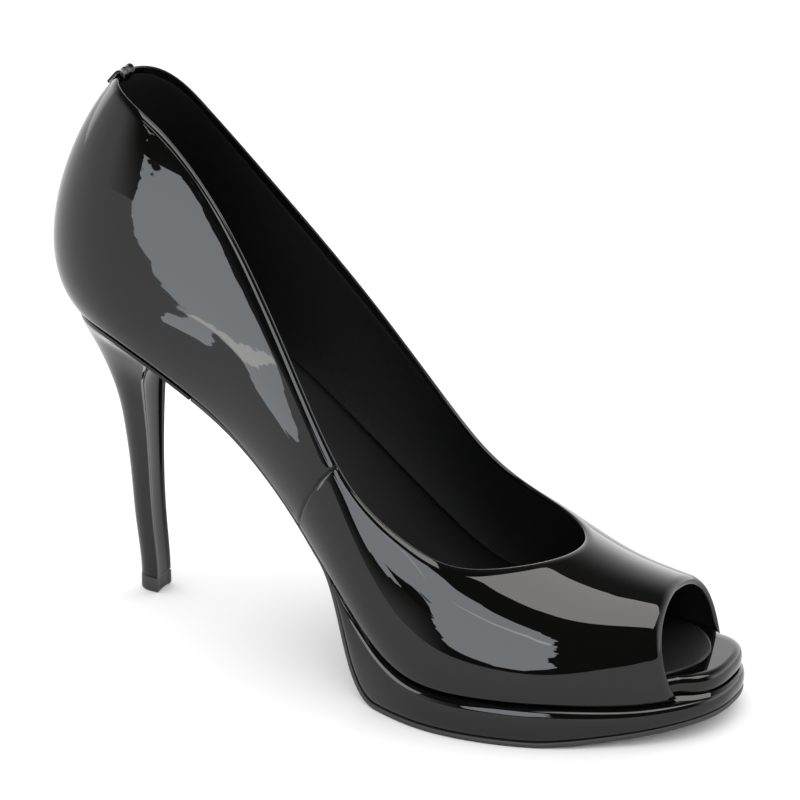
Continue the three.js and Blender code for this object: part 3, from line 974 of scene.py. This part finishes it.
def make_heel(patent):
    bottom = TOP_PIECE_HEIGHT + GAP
    count = 70
    rings = []
    for k in range(count):
        share = (k / (count - 1)) ** 0.92
        ring = heel_ring(share)
        for p in ring:
            p.z = lerp(bottom, rim_height(p.x) - GAP, share)
        rings.append(ring)
    seat = rings[-1]
    rings[-1:] = [[Vector((p.x, p.y, p.z - HEEL_LIP)) for p in seat], seat]
    bm = ring_grid(rings)
    capped(bm)
    return finished("heel_wrap", bm, [patent], "patent_leather", "heel", bevel=0.45)


def make_top_piece(rubber):
    """The rubber tip: rows of height as a share of its own, and growth past the heel in mm."""
    rows = [
        (0.0, -0.3),
        (0.024, -0.12),
        (0.07, 0.05),
        (0.14, 0.1),
        (0.9, 0.1),
        (0.97, 0.0),
        (1.0, -0.2),
    ]
    rings = []
    for share, grow in rows:
        ring = heel_ring(0, grow)
        for p in ring:
            p.z = share * TOP_PIECE_HEIGHT
        rings.append(ring)
    bm = ring_grid(rings)
    capped(bm)
    return finished("heel_tip", bm, [rubber], "sole_rubber", "top_piece", bevel=0.2)


# Back tab

TAB_ROOM = 0.1
TAB_CLEAR = 0.06


def tab_section(along, side, spread):
    """Closed section of the strip over the collar, out of the wall's two faces."""
    top = collar_around(along, side)
    ridge = last_point(along, top, side)
    drop = TAB_DROP / (ridge - last_point(along, top - 0.02, side)).length
    steps = 10

    def path(distance):
        points = []
        for i in range(steps + 1):
            around = top - 0.02 * drop * (1 - i / steps)
            n = last_normal(along, around, side)
            points.append(last_point(along, around, side) + n * distance)
        out = last_normal(along, top, side)
        up = (ridge - last_point(along, top - 0.01, side)).normalized()
        centre = ridge - out * (UPPER_WALL + TAB_ROOM) / 2
        for i in range(1, 10):
            turn = math.pi * i / 10
            reach = (UPPER_WALL + TAB_ROOM) / 2 + distance
            points.append(centre + out * reach * math.cos(turn) + up * reach * math.sin(turn))
        for i in reversed(range(steps + 1)):
            around = top - 0.02 * drop * (1 - i / steps)
            n = last_normal(along, around, side)
            inwards = -UPPER_WALL - TAB_ROOM - distance
            points.append(last_point(along, around, side) + n * inwards)
        return points

    over = path(TAB_CLEAR + TAB_THICKNESS * spread)
    under = path(TAB_CLEAR)
    return over + list(reversed(under))


def make_back_tab(patent):
    top = collar_around(back_seam, 1)
    pace = (last_point(back_seam + 1, top, 1) - last_point(back_seam, top, 1)).length
    steps = 22
    sections = []
    for i in range(-steps, steps + 1):
        side = -1 if i < 0 else 1
        across = abs(i) / steps
        along = back_seam + TAB_HALF_WIDTH * across / pace
        # Both long edges are folded under, so they stand a little higher than the middle.
        spread = 0.72 + 0.28 * smooth(0.45, 0.8, across)
        spread *= max(0.05, 1 - max(0.0, (across - 0.86) / 0.14) ** 2) ** 0.5
        sections.append(tab_section(along, side, spread))
    bm = ring_grid(sections)
    capped(bm)
    return finished("back_tab_strip", bm, [patent], "patent_leather", "back_tab")


# Materials


def new_material(name):
    material = bpy.data.materials.new(name)
    material.use_nodes = True
    tree = material.node_tree
    shader = next(n for n in tree.nodes if n.type == "BSDF_PRINCIPLED")
    coordinates = tree.nodes.new("ShaderNodeTexCoord")
    return material, tree, shader, coordinates.outputs["Object"]


def noise(tree, place, scale, detail, roughness=0.5):
    node = tree.nodes.new("ShaderNodeTexNoise")
    node.inputs["Scale"].default_value = scale
    node.inputs["Detail"].default_value = detail
    node.inputs["Roughness"].default_value = roughness
    tree.links.new(place, node.inputs["Vector"])
    return node.outputs["Fac"]


def ranged(tree, value, low, high):
    node = tree.nodes.new("ShaderNodeMapRange")
    node.inputs["To Min"].default_value = low
    node.inputs["To Max"].default_value = high
    tree.links.new(value, node.inputs["Value"])
    return node.outputs["Result"]


def bump(tree, height, strength, distance, before=None):
    node = tree.nodes.new("ShaderNodeBump")
    node.inputs["Strength"].default_value = strength
    node.inputs["Distance"].default_value = distance
    tree.links.new(height, node.inputs["Height"])
    if before is not None:
        tree.links.new(before, node.inputs["Normal"])
    return node.outputs["Normal"]


def patent_leather(name, wave=1.0):
    """Black leather under a thick clear coat, with the soft waves that such a coat dries in."""
    material, tree, shader, place = new_material(name)
    shader.inputs["Base Color"].default_value = (0.0028, 0.0028, 0.0026, 1)
    shader.inputs["Roughness"].default_value = 0.42
    shader.inputs["IOR"].default_value = 1.3
    shader.inputs["Specular IOR Level"].default_value = 0.0
    shader.inputs["Coat Weight"].default_value = 1.0
    shader.inputs["Coat Roughness"].default_value = 0.015
    shader.inputs["Coat IOR"].default_value = 1.42
    swell = noise(tree, place, 45.0, 0.0)
    ripple = noise(tree, place, 170.0, 0.0)
    normal = bump(tree, swell, 0.3 * wave, 0.0003)
    normal = bump(tree, ripple, 0.12 * wave, 0.00007, normal)
    tree.links.new(normal, shader.inputs["Coat Normal"])
    grain = noise(tree, place, 1600.0, 3.0, 0.6)
    tree.links.new(bump(tree, grain, 0.35, 0.0001), shader.inputs["Normal"])
    return material


def lining_leather(name, tone=1.0, roughness=0.62):
    """Dull black lining with a fine pore grain."""
    material, tree, shader, place = new_material(name)
    shade = noise(tree, place, 60.0, 3.0)
    mix = tree.nodes.new("ShaderNodeMix")
    mix.data_type = "RGBA"
    mix.inputs["A"].default_value = (0.0035 * tone, 0.0035 * tone, 0.0042 * tone, 1)
    mix.inputs["B"].default_value = (0.0065 * tone, 0.0062 * tone, 0.0068 * tone, 1)
    tree.links.new(shade, mix.inputs["Factor"])
    tree.links.new(mix.outputs["Result"], shader.inputs["Base Color"])
    pores = noise(tree, place, 1900.0, 4.0, 0.65)
    tree.links.new(ranged(tree, pores, roughness - 0.08, roughness + 0.08), shader.inputs["Roughness"])
    shader.inputs["Specular IOR Level"].default_value = 0.3
    tree.links.new(bump(tree, pores, 0.5, 0.00012), shader.inputs["Normal"])
    return material


def sole_rubber(name):
    """Dark rubber, dull at the tread."""
    material, tree, shader, place = new_material(name)
    shade = noise(tree, place, 35.0, 4.0, 0.6)
    mix = tree.nodes.new("ShaderNodeMix")
    mix.data_type = "RGBA"
    mix.inputs["A"].default_value = (0.012, 0.0115, 0.011, 1)
    mix.inputs["B"].default_value = (0.02, 0.019, 0.018, 1)
    tree.links.new(shade, mix.inputs["Factor"])
    tree.links.new(mix.outputs["Result"], shader.inputs["Base Color"])
    fine = noise(tree, place, 900.0, 3.0, 0.6)
    tree.links.new(ranged(tree, fine, 0.42, 0.62), shader.inputs["Roughness"])
    tree.links.new(bump(tree, fine, 0.35, 0.0001), shader.inputs["Normal"])
    return material


patent = patent_leather("patent_leather")
patent_wrap = patent_leather("patent_leather_wrap", 0.6)
lining = lining_leather("lining")
sock_leather = lining_leather("sock_leather", 1.2, 0.55)
rubber = sole_rubber("sole_rubber")

make_upper(patent, lining)
make_outsole(rubber)
make_platform(patent_wrap)
make_insole(patent_wrap)
make_sock(sock_leather)
make_heel(patent_wrap)
make_top_piece(rubber)
make_back_tab(patent_wrap)


# Floor, light and camera


FLOOR_SIZE = 12.0


def stage_piece(name, bm, material):
    """A piece of the studio round the shoe."""
    mesh = bpy.data.meshes.new(name)
    bm.to_mesh(mesh)
    bm.free()
    mesh.materials.append(material)
    piece = bpy.data.objects.new(name, mesh)
    bpy.context.scene.collection.objects.link(piece)
    return piece


def make_floor():
    material, _, shader, _ = new_material("pale_floor")
    shader.inputs["Base Color"].default_value = (0.9, 0.9, 0.9, 1)
    shader.inputs["Roughness"].default_value = 0.9
    shader.inputs["Specular IOR Level"].default_value = 0.0
    bm = bmesh.new()
    bmesh.ops.create_grid(bm, x_segments=1, y_segments=1, size=FLOOR_SIZE / 2)
    stage_piece("floor", bm, material)


make_floor()

VIEW_AZIMUTH = math.radians(29.23)
VIEW_ELEVATION = math.radians(25.48)
VIEW_ROLL = math.radians(-0.58)
VIEW_DISTANCE = 1451.0
VIEW_TARGET = Vector((85.0, 0.0, 70.0))
# The photo's frame is 800 units wide; the camera frames the square of it that holds the shoe.
TARGET_SPOT = (382.89, 268.63)
FRAME_CENTRE = (431.0, 255.0)
FRAME_SIDE = 470.0
SHOT_SCALE = 1.932
SENSOR = 36.0


def view_axes():
    a, e = VIEW_AZIMUTH, VIEW_ELEVATION
    right = Vector((math.cos(a), math.sin(a), 0))
    back = Vector((math.sin(a) * math.cos(e), -math.cos(a) * math.cos(e), math.sin(e)))
    up = back.cross(right)
    c, s = math.cos(VIEW_ROLL), math.sin(VIEW_ROLL)
    return right * c + up * s, up * c - right * s, back


def make_camera():
    right, up, back = view_axes()
    place = VIEW_TARGET + back * VIEW_DISTANCE
    aim = VIEW_TARGET + right * (FRAME_CENTRE[0] - TARGET_SPOT[0]) / SHOT_SCALE
    aim -= up * (FRAME_CENTRE[1] - TARGET_SPOT[1]) / SHOT_SCALE
    away = (place - aim).normalized()
    across = up.cross(away).normalized()
    upright = away.cross(across)
    data = bpy.data.cameras.new("camera")
    data.sensor_width = SENSOR
    data.lens = SHOT_SCALE * VIEW_DISTANCE / FRAME_SIDE * SENSOR
    data.clip_start = 0.05
    data.clip_end = 50
    camera = bpy.data.objects.new("camera", data)
    turn = Matrix((across, upright, away)).transposed().to_4x4()
    camera.matrix_world = Matrix.Translation(in_frame(place)) @ turn
    bpy.context.scene.collection.objects.link(camera)
    bpy.context.scene.camera = camera


make_camera()


OVERHEAD_PLACE = (0.75, -0.23, 1.5)
OVERHEAD_SIZE = (1.1, 1.18)
OVERHEAD_POWER = 24.5


def make_overhead_box():
    """Softbox over the toe that only shows as the pale band on the vamp, facing down."""
    data = bpy.data.lights.new("overhead_box", "AREA")
    data.shape = "RECTANGLE"
    data.size, data.size_y = OVERHEAD_SIZE
    data.energy = OVERHEAD_POWER
    data.color = (1, 0.98, 0.95)
    light = bpy.data.objects.new("overhead_box", data)
    light.location = OVERHEAD_PLACE
    light.visible_diffuse = False
    bpy.context.scene.collection.objects.link(light)


make_overhead_box()


def glow(name, strength, tone):
    material = bpy.data.materials.new(name)
    material.use_nodes = True
    tree = material.node_tree
    tree.nodes.clear()
    emission = tree.nodes.new("ShaderNodeEmission")
    emission.inputs["Color"].default_value = (*tone, 1)
    emission.inputs["Strength"].default_value = strength
    output = tree.nodes.new("ShaderNodeOutputMaterial")
    tree.links.new(emission.outputs["Emission"], output.inputs["Surface"])
    return material


CARD_ROWS = 120


def cloth_edge(z, size):
    """Uneven hem of the cloth over a light."""
    wave = math.sin(z * 37 / size) + 0.7 * math.sin(z * 83 / size + 1.3)
    return wave + 0.5 * math.sin(z * 151 / size + 0.4)


def soft_card(name, azimuth, distance, rows, ripple, material):
    """A light cloth that only shows as a reflection. rows: height, left and right edge, mm."""
    heights = [row[0] for row in rows]
    left = spline(heights, [row[1] for row in rows])
    right = spline(heights, [row[2] for row in rows])
    toward = Vector((math.cos(math.radians(azimuth)), math.sin(math.radians(azimuth)), 0))
    across = Vector((-toward.y, toward.x, 0))
    foot = Vector((SHOE_LENGTH / 2, 0, 0)) + toward * distance
    size = heights[-1] - heights[0]

    def place(i, j):
        z = lerp(heights[0], heights[-1], j / CARD_ROWS)
        edge = (left(z), right(z))[i] + ripple * cloth_edge(z + 0.3 * i * size, size)
        return in_frame(foot + across * edge + Vector((0, 0, z)))

    card = stage_piece(name, mapped_grid(1, CARD_ROWS, place), material)
    card.visible_camera = False
    card.visible_diffuse = False
    card.visible_shadow = False


cool_cloth = glow("cool_cloth", 5.6, (0.93, 0.98, 1.03))
bright_cloth = glow("bright_cloth", 9.0, (1.0, 1.0, 0.97))
soft_card(
    "tall_card",
    -86,
    1200,
    [
        [85, 70, 260],
        [140, -110, 440],
        [270, -262, 480],
        [460, -282, 500],
        [620, -230, 505],
        [800, -190, 505],
        [950, -150, 490],
        [1080, -100, 380],
        [1170, -50, 230],
        [1240, 0, 120],
    ],
    12,
    cool_cloth,
)
soft_card(
    "tall_card_hem",
    -86,
    1190,
    [
        [722, 448, 470],
        [750, 405, 478],
        [805, 345, 415],
        [850, 240, 352],
        [890, 20, 240],
        [912, -60, 60],
    ],
    3,
    bright_cloth,
)
soft_card(
    "low_card",
    -113,
    280,
    [
        [8, -80, -72],
        [25, -70, -50],
        [45, -61.5, -26],
        [70, -56, -5],
        [92, -53, 10],
        [112, -49.5, 13],
        [130, -46, 12],
        [150, -36, 11],
        [175, -22, 10],
        [195, -12, 8],
        [215, -4, 5],
    ],
    0.6,
    cool_cloth,
)
soft_card(
    "low_card_hem",
    -113,
    276,
    [
        [38, -63, -60],
        [47, -56, -50],
        [60, -42, -35],
        [74, -24, -17],
        [88, -4, 2],
        [96, 8, 11],
    ],
    0.4,
    bright_cloth,
)
soft_card(
    "black_flag",
    -90,
    230,
    [[105, -79, 1], [200, -79, 3], [330, -79, 5]],
    0.5,
    glow("black_cloth", 0.0, (0, 0, 0)),
)

SKY_LIGHT = 1.5


def studio_world(tree):
    """White for the camera and the soft light, and in reflections a white cove that is dark
    on the camera's side."""

    def math_node(operation, a, b):
        made = tree.nodes.new("ShaderNodeMath")
        made.operation = operation
        for socket, value in zip(made.inputs, (a, b)):
            if isinstance(value, (int, float)):
                socket.default_value = value
            else:
                tree.links.new(value, socket)
        return made.outputs[0]

    def ramp(value, low, high, first, last):
        made = tree.nodes.new("ShaderNodeMapRange")
        made.interpolation_type = "SMOOTHSTEP"
        made.inputs["From Min"].default_value = low
        made.inputs["From Max"].default_value = high
        made.inputs["To Min"].default_value = first
        made.inputs["To Max"].default_value = last
        tree.links.new(value, made.inputs["Value"])
        return made.outputs["Result"]

    way = tree.nodes.new("ShaderNodeTexCoord")
    parts = tree.nodes.new("ShaderNodeSeparateXYZ")
    tree.links.new(way.outputs["Generated"], parts.inputs[0])
    far = ramp(parts.outputs["Y"], -0.25, 0.2, 0.0, 3.0)
    left = ramp(parts.outputs["X"], -0.65, -0.12, 1.4, 0.0)
    cove = math_node("MAXIMUM", far, left)
    cove = math_node("MULTIPLY", cove, ramp(parts.outputs["Z"], 0.22, 0.9, 1.0, 0.03))
    cove = math_node("ADD", cove, 0.012)
    rays = tree.nodes.new("ShaderNodeLightPath")
    seen = rays.outputs["Is Camera Ray"]
    lighting = rays.outputs["Is Diffuse Ray"]
    plain = math_node("ADD", seen, math_node("MULTIPLY", lighting, SKY_LIGHT))
    other = math_node("SUBTRACT", 1.0, math_node("ADD", seen, lighting))
    strength = math_node("ADD", plain, math_node("MULTIPLY", cove, other))
    background = tree.nodes["Background"]
    background.inputs["Color"].default_value = (1, 1, 1, 1)
    tree.links.new(strength, background.inputs["Strength"])


world = bpy.data.worlds.new("studio")
world.use_nodes = True
studio_world(world.node_tree)
bpy.context.scene.world = world

bpy.context.scene.view_settings.view_transform = "Standard"
